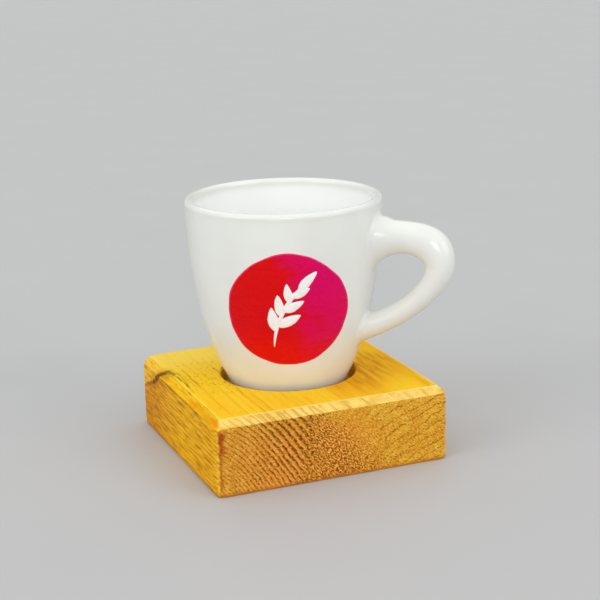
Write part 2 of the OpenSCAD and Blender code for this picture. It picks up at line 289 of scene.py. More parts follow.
def wood(name, tone):
    """Varnished softwood: rings round the pith, fibres along Y, dark rough end grain."""
    g = Graph(name)
    p = g.place(-BLOCK_TURN)
    x, y, z = g.split(p)
    normal = g.out("ShaderNodeTexCoord", (), "Normal")
    grain_way = (-sin(BLOCK_TURN), cos(BLOCK_TURN), 0)
    along = g.math("ABSOLUTE", g.vec("DOT_PRODUCT", normal, grain_way))
    facing_up = g.split(normal)[2]
    end = g.band(along, 0.78, 0.93)
    long = g.minus(1.0, end)
    cut_edge = g.times(g.band(along, 0.45, 0.65), long, g.band(facing_up, 0.3, 0.6))
    corner = g.times(
        g.band(along, 0.35, 0.55), g.band(along, 0.85, 0.7), g.band(facing_up, 0.45, 0.3))

    # Growth rings, wider apart the farther they are from the pith
    seed = tone["seed"]
    moved = g.vec("ADD", p, (seed * 31.7, seed * 17.3, seed * 5.9))
    slow = {"Vector": g.stretch(moved, 1, 0.16, 1), "Scale": 0.06, "Detail": 2.0}
    slow = g.vec("SUBTRACT", g.out("ShaderNodeTexNoise", slow, 1), (0.5, 0.5, 0.5))
    bend = g.vec("SCALE", slow, scale=tone["bend"])
    off_pith = g.vec("SUBTRACT", g.vec("ADD", p, bend), tone["pith"])
    radius = g.vec("LENGTH", g.stretch(off_pith, 1, 0, 1))
    first, growth, start = tone["rings"]
    spacing = g.add(g.times(g.minus(radius, start), growth), first)
    phase = g.math("DIVIDE", g.math("LOGARITHM", g.math("DIVIDE", spacing, first), e), growth)
    quick = g.noise(g.stretch(moved, 1, 0.08, 1), 0.6, 2)
    phase = g.add(phase, g.times(quick, tone["jitter"]))
    ring = g.math("FRACT", phase)
    late = g.times(g.band(ring, *tone["late_band"]), g.band(ring, 1.0, 0.94))
    vigour = g.noise(g.stretch(moved, 1, 0.03, 1), 0.22, 2)

    # Long faces
    fibre = g.grain(moved, (1.7, 0.03, 1.7), 4, 0.62)
    broad = g.grain(moved, (0.12, 0.012, 0.12), 2)
    gold = g.mix(g.band(broad, 0.3, 0.72), srgb(*tone["light"]), srgb(*tone["deep"]))
    upright = g.band(facing_up, 0.6, 0.2)
    gold = g.tint(gold, tone["side"], upright, 0.75)
    gold = g.tint(gold, tone["fibre"], g.band(fibre, 0.5, 0.8, 0, 0.6))
    torn = g.grain(moved, (1.2, 0.10, 1.2), 3, 0.6)
    faint = g.add(g.times(upright, tone["side_lines"]), tone["top_lines"])
    line = g.times(
        late, g.band(vigour, 0.42, 0.62, 0.15, 1.0), g.band(torn, 0.36, 0.6, 0.1, 1.0), faint)
    gold = g.tint(gold, tone["late"], line)
    dash = g.grain(moved, (2.2, 0.15, 2.2), 2)
    dashes = g.times(g.band(dash, 0.6, 0.72, 0, 0.5), g.add(g.times(upright, 0.45), 0.55))
    gold = g.tint(gold, (168, 102, 12), dashes)
    furred = g.times(g.grain(moved, (1.7, 0.11, 1.7), 3, 0.6), upright)
    gold = g.tint(gold, (172, 100, 2), g.band(furred, 0.47, 0.66, 0, 0.8))
    gold = g.tint(gold, (255, 206, 44), g.band(furred, 0.47, 0.32, 0, 0.6), upright)

    flat = g.minus(1.0, upright)
    # Painted light: the far half of the top is given a paler tone where the cup and ear shade it.
    gold = g.tint(gold, tone["far"], g.band(y, 6.0, 32.0), flat, tone["far_painted_light_share"])
    slope = g.times(g.band(facing_up, 0.92, 0.8), g.band(facing_up, 0.45, 0.62))
    gold = g.tint(gold, (240, 178, 20), slope, 0.45)
    gold = g.tint(gold, (190, 122, 8), slope, g.band(dash, 0.5, 0.66, 0, 0.6))
    # Painted highlight: a pale line on the rounding between the top and the chamfers, towards the
    # front.
    painted_ridge_highlight = g.times(g.band(facing_up, 0.74, 0.84), g.band(facing_up, 0.99, 0.93))
    gold = g.tint(gold, (255, 234, 116), painted_ridge_highlight, g.band(y, 16.0, -8.0, 0.2, 0.55))

    # Sawn end grain
    hatch_turn = g.out("ShaderNodeMapping", {"Vector": moved, "Rotation": (0, SAW_SLANT, 0)})
    pits = g.noise(moved, 2.3, 3, 0.6)
    nicks = g.grain(hatch_turn, (0.95, 0.0, 2.4), 2, 0.6)
    flecks = g.add(g.times(pits, 0.4), g.times(nicks, 0.6))
    coarse = g.noise(moved, 0.3, 2)
    sawn = g.mix(g.band(coarse, 0.35, 0.65), srgb(*tone["end_light"]), srgb(*tone["end_dark"]))
    from_middle = g.math("ABSOLUTE", g.add(x, 10.0))
    sawn = g.tint(sawn, (252, 156, 64), g.band(from_middle, 30.0, 8.0), g.band(z, 24.0, 12.0), 0.6)
    tilt, low, high, weak, strong = tone["mottle"]
    ragged_x = g.add(x, g.times(g.minus(g.noise(moved, 0.45, 3, 0.6), 0.5), 9.0))
    mottle = g.band(g.add(ragged_x, g.times(z, tilt)), low, high, weak, strong)
    mottle = g.most(mottle, g.times(g.band(ragged_x, SEAM_X - 5.0, SEAM_X + 0.5), tone["by_seam"]))
    ring_share = g.band(x, *tone["ring_share"])
    broken = g.band(flecks, 0.4, 0.55, 0.3, 1.0)
    ring_end = g.times(late, ring_share, broken, g.band(vigour, 0.3, 0.5, tone["steady"], 1.0))
    by_seam = g.times(g.band(x, *tone["heavy"]), g.band(z, 1.0, 9.0))
    heavy = g.times(g.band(ring, 0.3, 0.72), g.band(ring, 1.0, 0.92),
                    g.band(flecks, 0.38, 0.54, 0.45, 1.0), by_seam)
    ring_end = g.most(ring_end, heavy)
    sawn = g.tint(sawn, tone["end_late"], ring_end)
    ragged = g.mix(g.band(flecks, 0.44, 0.56), srgb(255, 170, 64), srgb(84, 20, 0))
    sawn = g.mix(mottle, sawn, ragged)
    hatch = g.grain(hatch_turn, (0.35, 0.0, 1.9), 3, 0.6)
    sawn = g.tint(sawn, (186, 114, 20), g.band(hatch, 0.5, 0.7, 0, 0.45))
    sawn = g.tint(sawn, (170, 98, 16), g.band(pits, 0.46, 0.72, 0, tone["speckle"]))
    sawn = g.tint(sawn, (118, 56, 2), g.band(nicks, 0.55, 0.68, 0, tone["nicks"]))
    sawn = g.tint(sawn, (255, 210, 100), g.band(nicks, 0.45, 0.32, 0, tone["nicks"]))

    # Pale planed edge over the end grain, with slanting ticks, and worn upright edges
    slant = g.grain(hatch_turn, (0.1, 0.0, 0.9), 2)
    tick = g.most(g.times(late, ring_share, tone["ticks"]), g.band(slant, 0.5, 0.66, 0, 0.5))
    planed = g.mix(g.band(coarse, 0.35, 0.65), srgb(250, 216, 116), srgb(240, 198, 90))
    planed = g.tint(planed, (200, 138, 46), tick)
    colour = g.mix(end, gold, sawn)
    colour = g.mix(cut_edge, colour, planed)
    break_line = g.times(g.band(along, 0.12, 0.3), g.band(along, 0.66, 0.5),
                         g.band(facing_up, 0.7, 0.82), g.band(coarse, 0.3, 0.55, 0.35, 0.75))
    colour = g.tint(colour, (255, 230, 148), break_line)
    colour = g.tint(colour, (250, 206, 112), corner, 0.3)
    colour, sunk = tone["marks"](g, p, (x, y, z), colour, moved, upright)

    rough_long = g.band(fibre, 0.3, 0.8, 0.32, 0.5)
    rough_end = g.band(pits, 0.3, 0.7, 0.55, 0.75)
    roughness = g.add(g.times(rough_long, long), g.times(rough_end, end))
    relief_end = g.add(
        g.times(pits, g.add(g.times(mottle, 0.6), 0.35), -1.0), g.times(ring_end, -0.4))
    relief_long = g.minus(g.times(fibre, 0.2), g.add(g.times(line, 0.2), g.times(furred, 0.3)))
    relief = g.add(g.times(relief_end, end), g.times(relief_long, long))
    relief = g.minus(relief, sunk)
    g.set(Base_Color=colour, Roughness=roughness, Normal=g.bump(relief, 0.3))
    g.set(Specular_IOR_Level=0.0, Coat_Weight=0.16, Coat_Roughness=0.24)
    return g.material


# Resin streak over the far left edge: points, then width and share of each stretch
STREAK = ((-40.2, 39.4, 13.4), (-40.2, 30.5, 16.8), (-40.2, 26.0, 18.6), (-40.1, 22.0, 21.2),
          (-38.9, 18.3, 23.6), (-37.6, 16.3, 24.9), (-36.4, 12.2, 25.0))
STREAK_WIDTHS = (0.1, 0.2, 0.45, 0.65, 0.6, 0.3)
STREAK_SHARES = (0.5, 0.65, 0.9, 1.0, 0.9, 0.75)

# Creases along the grain: ends, width, softness and share
TOP_CREASES = (
    ((-36.9, 11.5, 25.0), (-36.4, -3.0, 25.0), 0.04, 0.5, 1.0),
    ((-36.6, -1.0, 25.0), (-36.3, -9.0, 25.0), 0.02, 0.4, 0.7),
    ((-35.7, 13.0, 25.0), (-35.4, 1.0, 25.0), 0.03, 0.4, 0.75),
    ((-34.5, 12.0, 25.0), (-34.0, -4.0, 25.0), 0.02, 0.35, 0.45),
    ((-33.0, 8.0, 25.0), (-32.6, -5.0, 25.0), 0.02, 0.35, 0.4),
)
SIDE_CREASES = (
    ((-40.0, 16.0, 22.3), (-40.0, -22.0, 22.3), 0.05, 0.5, 0.8),
    ((-40.0, -2.0, 20.2), (-40.0, -36.0, 19.8), 0.02, 0.45, 0.6),
    ((-40.0, 6.0, 17.6), (-40.0, -24.0, 17.2), 0.02, 0.4, 0.5),
)


def narrow_marks(g, p, xyz, colour, moved, upright):
    """Painted shade darkening the far half of the left face, with darker torn grain in it, bare
    wane over it, resin streak, ripples and creases, stain at the front corner, warm spots on the
    chamfer and a dark foot."""
    x, y, z = xyz
    ragged = g.minus(g.noise(moved, 0.6, 3), 0.5)
    wobble = g.pushed(p, (1.0, 1.0, 1.0), g.times(ragged, 1.1))
    left_side = g.times(g.band(x, -37.2, -39.2), upright)
    # Painted shade: the far half of the left face is darkened; the torn grain marks within it are
    # grain.
    far = g.times(g.band(y, -6.0, 34.0), left_side)
    colour = g.tint(colour, (198, 108, 18), far, 0.5)
    torn = g.band(g.grain(moved, (1.5, 0.3, 1.5), 3, 0.6), 0.5, 0.68)
    colour = g.tint(colour, (142, 72, 8), far, torn, 0.6)
    over = g.minus(z, g.add(g.times(g.minus(39.0, y), 0.45), 13.5))
    wane = g.times(
        g.band(g.add(over, g.times(ragged, 1.5)), -0.2, 0.9), g.band(y, 19.0, 22.0), left_side)
    lines = g.grain(moved, (1.6, 0.1, 1.6), 2)
    bare = g.mix(g.band(lines, 0.45, 0.65), srgb(252, 202, 54), srgb(206, 140, 20))
    colour = g.mix(g.times(wane, 0.85), colour, bare)
    parts = [g.times(g.stroke(wobble, a, b, width, 0.9), share) for a, b, width, share
             in zip(STREAK, STREAK[1:], STREAK_WIDTHS, STREAK_SHARES)]
    streak = g.times(g.most(*parts), g.band(g.noise(moved, 1.3, 2), 0.3, 0.6, 0.65, 1.0))
    halo = g.stroke(wobble, STREAK[2], STREAK[5], 0.8, 3.0)
    colour = g.tint(colour, (168, 92, 14), halo, 0.25)
    colour = g.tint(colour, (92, 38, 14), streak, 0.92)
    ripple = g.grain(moved, (1.15, 0.45, 1.15), 2, 0.5, 0.4)
    ripple = g.times(g.band(ripple, 0.56, 0.68), g.band(x, -38.0, -30.0),
                     g.band(y, -22.0, -6.0), g.band(y, 30.0, 16.0))
    colour = g.tint(colour, (184, 116, 8), ripple, g.minus(1.0, upright), 0.55)
    lazy = g.minus(g.grain(moved, (0.3, 0.12, 0.3), 1), 0.5)
    drawn = g.pushed(p, (1.0, 0.0, 0.0), g.times(lazy, 2.0))
    worn_thin = g.band(g.grain(moved, (1.5, 0.35, 1.5), 2), 0.32, 0.55, 0.35, 1.0)
    found = [g.times(g.stroke(on, a, b, width, soft), share)
             for on, table in ((drawn, TOP_CREASES), (p, SIDE_CREASES))
             for a, b, width, soft, share in table]
    creases = g.times(g.most(*found), worn_thin)
    colour = g.tint(colour, (124, 72, 4), creases, 0.85)
    rough_edge = g.pushed(p, (1.0, 0.0, 1.0), g.times(ragged, 4.5))
    run = g.stroke(rough_edge, (-38.3, -39.9, 20.6), (-38.3, -39.9, 15.0), 0.2, 1.7)
    thin_run = g.stroke(wobble, (-38.5, -39.7, 14.5), (-38.5, -39.7, 3.0), 0.05, 0.8)
    run = g.most(run, g.times(thin_run, 0.6))
    colour = g.tint(colour, (160, 56, 4), run, 0.9)
    patchy = g.band(g.noise(g.stretch(moved, 1, 0.3, 1), 0.6, 2), 0.3, 0.6, 0.6, 1.0)
    amber = g.stroke(drawn, (-38.9, -36.5, 23.6), (-38.9, -17.0, 23.7), 0.5, 1.2)
    colour = g.tint(colour, (230, 164, 4), amber, patchy, 0.75)
    spot = g.stroke(drawn, (-39.1, -38.0, 23.4), (-38.9, -32.5, 23.7), 0.2, 1.5)
    far_spot = g.stroke(drawn, (-38.9, -17.5, 23.6), (-38.8, -12.5, 23.7), 0.1, 1.3)
    spots = g.most(spot, g.times(far_spot, 0.85))
    colour = g.tint(colour, (244, 146, 4), spots, patchy, 0.8)
    colour = g.tint(colour, (176, 82, 14), g.band(z, 2.0, 0.4), 0.5)
    return colour, g.add(g.times(streak, 0.35), g.times(creases, 0.3))


def wide_marks(g, p, xyz, colour, moved, _upright):
    """Dark foot, painted shade in darker warm tones on the top by the seat, a pale painted
    highlight along the top's right edge, worn and torn right corner.
    """
    z = xyz[2]
    foot = g.times(g.band(z, 2.0, 0.4), 0.45)
    colour = g.tint(colour, (186, 88, 14), foot)
    # Painted shade: darker amber and warm tones on the top beside the seat, where the cup's shadow
    # falls.
    warm = g.stroke(p, (14.0, -24.0, 25.0), (30.0, -2.0, 25.0), 1.0, 11.0)
    patchy = g.band(g.grain(moved, (0.6, 0.06, 0.6), 3), 0.4, 0.65)
    amber = g.stroke(p, (16.0, -22.0, 25.0), (36.0, -8.0, 25.0), 4.0, 14.0)
    colour = g.tint(colour, (238, 164, 14), amber, 0.45)
    colour = g.tint(colour, (202, 118, 8), warm, patchy, 0.7)
    # Painted highlight: a pale line along the top's right edge.
    edge = g.stroke(p, (37.2, -37.0, 25.0), (37.2, 38.0, 25.0), 0.1, 0.7)
    colour = g.tint(colour, (255, 226, 136), edge, 0.55)
    worn_line = g.stroke(p, (39.5, -39.5, 2.0), (39.5, -39.5, 21.5), 0.35, 0.8)
    notch = g.band(g.grain(moved, (0.15, 0.15, 1.6), 2), 0.56, 0.66)
    colour = g.tint(colour, (246, 190, 118), worn_line, 0.6)
    torn = g.times(g.stroke(p, (39.2, -39.8, 6.0), (39.2, -39.8, 21.5), 0.9, 1.2), notch)
    colour = g.tint(colour, (158, 82, 8), torn, 0.6)
    return colour, g.add(g.times(foot, 0.1), g.times(torn, 0.4))


# Rings as first spacing, growth and start; bands as limits and values
NARROW = dict(
    seed=1.0, pith=(-82.0, 0, -34.0), rings=(0.9, 0.0326, 54.0), bend=2.2, jitter=0.6,
    late_band=(0.48, 0.88), light=(255, 214, 42), deep=(253, 199, 28), fibre=(234, 172, 20),
    late=(152, 88, 8), side=(247, 176, 6), far=(255, 220, 92), far_painted_light_share=0.8,
    top_lines=0.45, side_lines=0.25,
    end_light=(242, 179, 66), end_dark=(225, 154, 47), end_late=(98, 38, 0),
    mottle=(-0.45, -17.0, -10.5, 0.05, 0.75), ring_share=(-39.0, -24.0, 0.45, 1.0),
    steady=0.3, by_seam=0.8, heavy=(-35.0, -17.0), speckle=0.6, nicks=0.5, ticks=0.65,
    marks=narrow_marks)
WIDE = dict(
    seed=2.0, pith=(48.0, 0, -32.0), rings=(2.6, 0.01, 40.0), bend=6.0, jitter=0.5,
    late_band=(0.78, 0.92), light=(255, 208, 38), deep=(249, 186, 20), fibre=(232, 166, 16),
    late=(176, 106, 10), side=(247, 176, 6), far=(250, 190, 60), far_painted_light_share=0.55,
    top_lines=0.35, side_lines=0.3,
    end_light=(240, 184, 57), end_dark=(227, 161, 41), end_late=(140, 74, 6),
    mottle=(0.88, 8.0, 26.0, 0.85, 0.1), ring_share=(6.0, 22.0, 0.05, 0.8),
    steady=0.1, by_seam=0.0, heavy=(90.0, 100.0), speckle=0.4, nicks=0.7, ticks=0.1,
    marks=wide_marks)


# ---------------- mesh helpers

ROUND_SHARE = 0.48  # most of a side that a rounding may take


def link(name, data):
    """New object in the scene for a mesh, lamp or camera."""
    obj = bpy.data.objects.new(name, data)
    scene.collection.objects.link(obj)
    return obj


def shade(mesh, sharp):
    """Smooth shading, broken at edges sharper than the angle in degrees."""
    mesh.shade_smooth()
    mesh.set_sharp_from_angle(angle=radians(sharp))


def add_mesh(name, verts, faces, material, sharp=40):
    """New object from points in millimetres."""
    mesh = bpy.data.meshes.new(name)
    mesh.from_pydata((np.asarray(verts, float) * MM).tolist(), [], faces)
    mesh.validate()
    mesh.materials.append(material)
    shade(mesh, sharp)
    return link(name, mesh)


def tube_faces(rows, cols, closed_ends=False):
    """Quads between rows of cols points that close on themselves."""
    faces = []
    for i in range(rows - 1):
        for k in range(cols):
            n = (k + 1) % cols
            faces.append((i * cols + k, i * cols + n, (i + 1) * cols + n, (i + 1) * cols + k))
    if closed_ends:
        faces.append(tuple(range(cols - 1, -1, -1)))
        faces.append(tuple((rows - 1) * cols + k for k in range(cols)))
    return faces


def poled(rings, first, last):
    """Points and faces of a closed skin: rings of equal count between two poles."""
    cols = len(rings[0])
    points = np.concatenate(rings + [np.array([first, last])])
    rows = len(rings)
    faces = tube_faces(rows, cols)
    a, b = rows * cols, rows * cols + 1
    for k in range(cols):
        n = (k + 1) % cols
        faces.append((a, n, k))
        faces.append((b, (rows - 1) * cols + k, (rows - 1) * cols + n))
    return points, faces


def around(cols):
    """Unit circle in cols points."""
    a = np.linspace(0, 2 * pi, cols, endpoint=False)
    return np.stack([np.cos(a), np.sin(a)], axis=1)


def raised(outline, z):
    """Flat outline lifted to height z."""
    return np.column_stack([outline, np.full(len(outline), z)])


def rounded(points, radius, steps=5):
    """Open polyline with its inner corners rounded by the radii given (0 keeps a corner)."""
    points = [np.array(q, float) for q in points]
    out = [points[0]]
    for i in range(1, len(points) - 1):
        r = radius[i]
        if r == 0:
            out.append(points[i])
            continue
        a = points[i - 1] - points[i]
        b = points[i + 1] - points[i]
        la, lb = np.linalg.norm(a), np.linalg.norm(b)
        a, b = a / la, b / lb
        half = acos(float(np.clip(a @ b, -1, 1))) / 2
        reach = min(r / tan(half), ROUND_SHARE * la, ROUND_SHARE * lb)
        p0, p2 = points[i] + a * reach, points[i] + b * reach
        for t in np.linspace(0, 1, steps):
            out.append((1 - t) ** 2 * p0 + 2 * t * (1 - t) * points[i] + t ** 2 * p2)
    out.append(points[-1])
    return np.array(out)


# ---------------- cup body

POLE_R = 0.6  # rings stop here, short of the axis
FOOT_SOFT = [0, 0.8, 0.7, 0.7, 0.6, 0.9, 0]
FOOT_STEPS = 6
SHOULDER_H = FOOT_H + 1.2
OUTER_FROM = FOOT_H + 1.5
LIP_FROM = CUP_H - LIP_R - 0.9
LIP_OVER = 8  # degrees past the half round
BOTTOM_EASE = 1.0
OUTER_ROWS, LIP_ROWS, INNER_ROWS = 70, 22, 64
LATHE_COLS = 224


def inner_r(h):
    """Radius of the hollow, its rounded bottom eased into the side."""
    side = cup_r(h, -WALL)
    above = np.maximum(h - FLOOR_H - BOWL_R, 0)
    below = np.maximum(FLOOR_H + BOWL_R - h, 0)
    round_part = np.sqrt(np.maximum(BOWL_R ** 2 - below ** 2, 0)) + above
    return -BOTTOM_EASE * np.log(np.exp(-side / BOTTOM_EASE) + np.exp(-round_part / BOTTOM_EASE))


def cup_profile():
    """Radius and height round the section, from under the foot over the lip to the inside."""
    foot_top = float(cup_r(FOOT_H))
    foot_r = foot_top - FOOT_INSET
    foot_in = foot_r - FOOT_W
    under = rounded(
        [(POLE_R, FOOT_H), (foot_in - FOOT_TAPER, FOOT_H), (foot_in, 0), (foot_r - FOOT_TAPER, 0),
         (foot_r - 0.1, FOOT_H - 0.3), (foot_top - 0.4, FOOT_H),
         (float(cup_r(SHOULDER_H)), SHOULDER_H)], FOOT_SOFT, FOOT_STEPS)
    h_out = np.linspace(OUTER_FROM, LIP_FROM, OUTER_ROWS)
    outer = np.stack([cup_r(h_out), h_out], axis=1)
    a = np.radians(np.linspace(-LIP_OVER, 180 + LIP_OVER, LIP_ROWS))
    lip = LIP_R * np.stack([np.cos(a), np.sin(a)], axis=1) + (RIM_R - WALL / 2, CUP_H - LIP_R)
    t = np.linspace(0, 1, INNER_ROWS)
    h_in = FLOOR_H + (LIP_FROM - FLOOR_H) * (1 - np.cos(t * pi / 2))
    inside = np.stack([np.maximum(inner_r(h_in), 0.0), h_in], axis=1)[::-1]
    inside = inside[inside[:, 0] > POLE_R]
    return np.concatenate([under, outer, lip, inside])


rings = [raised(r * around(LATHE_COLS), SEAT_Z + h) for r, h in cup_profile()]
verts, faces = poled(rings, (0, 0, SEAT_Z + FOOT_H), (0, 0, SEAT_Z + FLOOR_H))
bowl = add_mesh("cup_bowl", verts, faces, glaze("white_glaze", True))
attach(bowl, "cup")
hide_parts("cup_body")


# ---------------- handle

# Centre line: two cubic curves that meet at the bend; rises in degrees
REACH = 57.5
BEND_H = CUP_H - 20.8
UPPER_H = CUP_H - 14.4
LOWER_H = 21.2
ROOT_IN = 8.0
UPPER_PULL, UPPER_RISE = 26, 14.4
LOWER_PULL, LOWER_RISE = 19.8, 7.3
BEND_PULL_UP, BEND_PULL_DOWN = 5, 7

# Thickness in the ear's plane and width across it
ARM_T, BEND_T, LOWER_T = 11.8, 8.4, 7.1
ROOT_T = 0.81 * ARM_T
ARM_W, LOWER_W = 9.6, 8.4

# Roots: a swell, a hump on top and a small fillet
UPPER_FLARE, UPPER_TOP, UPPER_UNDER = 3.8, -1.6, 1.3
LOWER_FLARE, LOWER_INNER = 1.7, -0.9
FLARE_L = 4.0
FLARE_ACROSS = 0.7
FILLET = 1.4
HUMP, HUMP_NEAR, HUMP_FAR = 0.7, 3.0, 5.6
HOLD_NEAR, HOLD_FAR = 1.0, 7.0

# Inside of the bend, filled a little and eased; places along the line run from 0 to 2
INNER_FILL, FILL_AT, FILL_SPREAD = 0.8, 1.06, 0.2
INNER_EASE, EASE_SPREAD = 7.0, 0.4
UPPER_END, LOWER_START = 0.7, 1.3

FINE, MARGIN = 801, 160
EAR_COLS, MID_ROWS = 56, 64


def way(angle):
    """Unit vector at an angle in degrees."""
    return np.array([cos(radians(angle)), sin(radians(angle))])


upper_root = np.array([float(cup_r(UPPER_H)) - ROOT_IN, UPPER_H])
lower_root = np.array([float(cup_r(LOWER_H)) - ROOT_IN, LOWER_H])
bend_point = np.array([REACH - BEND_T / 2, BEND_H])
upper_curve = [upper_root, upper_root + UPPER_PULL * way(UPPER_RISE),
               bend_point + (0, BEND_PULL_UP), bend_point]
lower_curve = [bend_point, bend_point - (0, BEND_PULL_DOWN),
               lower_root + LOWER_PULL * way(LOWER_RISE), lower_root]


def on_line(s):
    """Points on the ear's centre line and the way it runs, s from 0 to 2."""
    t = np.where(s < 1, s, s - 1)[..., None]
    first = (s < 1)[..., None]
    p = [np.where(first, a, b) for a, b in zip(upper_curve, lower_curve)]
    place = ((1 - t) ** 3 * p[0] + 3 * (1 - t) ** 2 * t * p[1]
             + 3 * (1 - t) * t ** 2 * p[2] + t ** 3 * p[3])
    run = (1 - t) ** 2 * (p[1] - p[0]) + 2 * (1 - t) * t * (p[2] - p[1]) + t ** 2 * (p[3] - p[2])
    return place, run / np.linalg.norm(run, axis=-1, keepdims=True)


def eased(knots):
    """Straight pieces between the knots, averaged over a short window."""
    raw = np.interp(np.linspace(-0.4, 2.4, FINE + 2 * MARGIN), *zip(*knots))
    window = np.hanning(MARGIN + 1)
    return np.convolve(raw, window / window.sum(), mode="same")[MARGIN:MARGIN + FINE]


fine_s = np.linspace(0, 2, FINE)
half_t = eased([(0.25, ROOT_T), (0.6, ARM_T), (1, BEND_T), (1.45, LOWER_T)]) / 2
half_w = eased([(0.6, ARM_W), (1.5, LOWER_W)]) / 2
line, run = on_line(fine_s)
out_way = np.stack([-run[:, 1], run[:, 0]], axis=1)
phi = np.linspace(0, 2 * pi, EAR_COLS, endpoint=False)


def along(s, track):
    """Points of a track at s along the ear."""
    return np.stack([np.interp(s, fine_s, part) for part in track.T], axis=-1)


def fibre_point(s, k, swell=0.0):
    """Point on the ear's skin at s along fibre k, pushed out by swell."""
    c, n = along(s, line), along(s, out_way)
    facing = cos(phi[k])
    a = np.interp(s, fine_s, half_t) + swell
    if facing < 0:
        a = a + INNER_FILL * facing ** 2 * np.exp(-((s - FILL_AT) / FILL_SPREAD) ** 2)
    b = np.interp(s, fine_s, half_w) + FLARE_ACROSS * swell
    u = a * facing
    return np.stack([c[..., 0] + n[..., 0] * u, b * sin(phi[k]),
                     c[..., 1] + n[..., 1] * u], axis=-1)


def off_wall(points):
    """How far points lie outside the bowl's face."""
    return np.hypot(points[..., 0], points[..., 1]) - cup_r(points[..., 2])


def swell_at(gap, flare):
    """How far the skin is pushed out near the wall: a long swell and a small fillet."""
    gap = np.maximum(gap, 0)
    fillet = FILLET - np.sqrt(np.maximum(FILLET ** 2 - np.maximum(FILLET - gap, 0) ** 2, 0))
    return flare * np.exp(-gap / FLARE_L) + fillet


def eased_along(points, reach, step=0.1):
    """Polyline averaged over a window of the given length, measured along it."""
    gone = np.concatenate([[0], np.cumsum(np.linalg.norm(np.diff(points, axis=0), axis=1))])
    even = np.arange(0, gone[-1], step)
    window = np.hanning(int(reach / step))
    window /= window.sum()
    parts = [np.convolve(np.interp(even, gone, part), window, mode="same") for part in points.T]
    return np.stack([np.interp(gone, even, part) for part in parts], axis=1)


# Distances from the wall at which the rows near a root lie
NEAR_WALL = np.concatenate([[-0.6, -0.25], FILLET * (1 - np.cos(np.linspace(0, pi / 2, 7))),
                            [2.1, 3.0, 4.1, 5.4]])


def ear_fibre(k):
    """Fibre k of the ear's skin from the upper root to the lower one."""
    gap = off_wall(fibre_point(fine_s, k))
    up_part, low_part = fine_s < UPPER_END, fine_s > LOWER_START
    s_up = np.interp(NEAR_WALL, gap[up_part], fine_s[up_part])
    s_low = np.interp(NEAR_WALL, gap[low_part][::-1], fine_s[low_part][::-1])
    s_mid = np.linspace(s_up[-1], s_low[-1], MID_ROWS + 2)[1:-1]
    s_all = np.concatenate([s_up, s_mid, s_low[::-1]])
    gap_all = off_wall(fibre_point(s_all, k))
    facing = cos(phi[k])
    upper = UPPER_FLARE + (UPPER_TOP if facing > 0 else UPPER_UNDER) * facing ** 2
    lower = LOWER_FLARE + (0 if facing > 0 else LOWER_INNER) * facing ** 2
    past_bend = smooth(s_all, UPPER_END, LOWER_START)
    flare = upper + (lower - upper) * past_bend
    hump = HUMP * max(facing, 0) ** 2 * (1 - smooth(gap_all, HUMP_NEAR, HUMP_FAR)) * (1 - past_bend)
    skin = fibre_point(s_all, k, swell_at(gap_all, flare) + hump)
    held = np.sqrt((cup_r(skin[:, 2]) + gap_all) ** 2 - skin[:, 1] ** 2)
    skin[:, 0] += (held - skin[:, 0]) * (1 - smooth(gap_all, HOLD_NEAR, HOLD_FAR))
    inward = max(-facing, 0) * np.exp(-((s_all - 1.0) / EASE_SPREAD) ** 4)
    skin += (eased_along(skin, INNER_EASE) - skin) * inward[:, None]
    return skin


grid = np.stack([ear_fibre(k) for k in reversed(range(EAR_COLS))], axis=1)
grid[..., 2] += SEAT_Z
ear = add_mesh("cup_ear", grid.reshape(-1, 3), tube_faces(len(grid), EAR_COLS, True),
               glaze("white_glaze_ear"), 60)
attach(ear, "cup")
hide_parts("cup_handle")


# ---------------- painted coat and sprig

# Outline: six eased bows with their turns in degrees, and waves of size, count and start
COAT_BOWS = np.array([0.62, 0.74, 0.66, 0.8, 0.7, 0.64]) * PATCH_D
COAT_TURNS = np.radians([8, 64, 131, 187, 246, 305])
COAT_EASE, COAT_GROW = 1.3, 0.35
COAT_WAVES = ((0.12, 5, 0.6), (0.06, 11, 2.1), (0.03, 19, 4.0))

# Section: heights over the bowl and distances in from the edge
COAT_BACK, COAT_LIFT = -0.06, 0.01
COAT_EDGE, COAT_SHOULDER, COAT_INNER, COAT_MIDDLE = 0.42, 1.3, 17.6, 18.4
NEAR_EDGE = [0.0, 0.02, 0.06, 0.12, 0.2, 0.3, COAT_EDGE, 0.6, 0.9, COAT_SHOULDER]
BRUSH_WAVE = 0.012
COAT_COLS, COAT_ROWS = 180, 22

# White strokes
STROKE_COLS, STROKE_SINK, STROKE_DOME, FULL_HALF = 9, 0.1, 2.6, 0.55
LEAST_HALF = 0.05
STEM_LEAN = radians(62)
STEM_BOW = 0.12 * SPRIG_L
STEM_HALF = 0.5 * 0.05 * SPRIG_L
LEAF_L, LEAF_T = 0.32 * SPRIG_L, 0.125 * SPRIG_L
LEAF_PAIRS, LEAF_FROM, LEAF_STEP, LEAF_ANGLE = 3, 0.26, 0.2, 38
TIP_ROOT, TIP_ANGLE = (0.78, 0.075), -16
SPRIG_SHARP = 50


def on_bowl(u, v, lift):
    """Point over the bowl's face at u to the right of and v above the coat's middle."""
    u, v = np.asarray(u, float), np.asarray(v, float)
    h = PATCH_H + v
    r = cup_r(h) + lift
    deep = np.sqrt(r ** 2 - u ** 2)
    ca, sa = cos(PATCH_ANGLE), sin(PATCH_ANGLE)
    return np.stack([deep * ca - u * sa, deep * sa + u * ca, SEAT_Z + h], axis=-1)


def coat_reach(theta):
    """Distance from the coat's middle to its edge."""
    off = PATCH_D / 2 - COAT_BOWS
    lean = off * np.cos(theta[:, None] - COAT_TURNS)
    far = lean + np.sqrt(COAT_BOWS ** 2 - off ** 2 + lean ** 2)
    reach = -COAT_EASE * np.log(np.exp(-far / COAT_EASE).sum(axis=1))
    wave = sum(size * np.sin(count * theta + start) for size, count, start in COAT_WAVES)
    return reach + COAT_GROW + wave


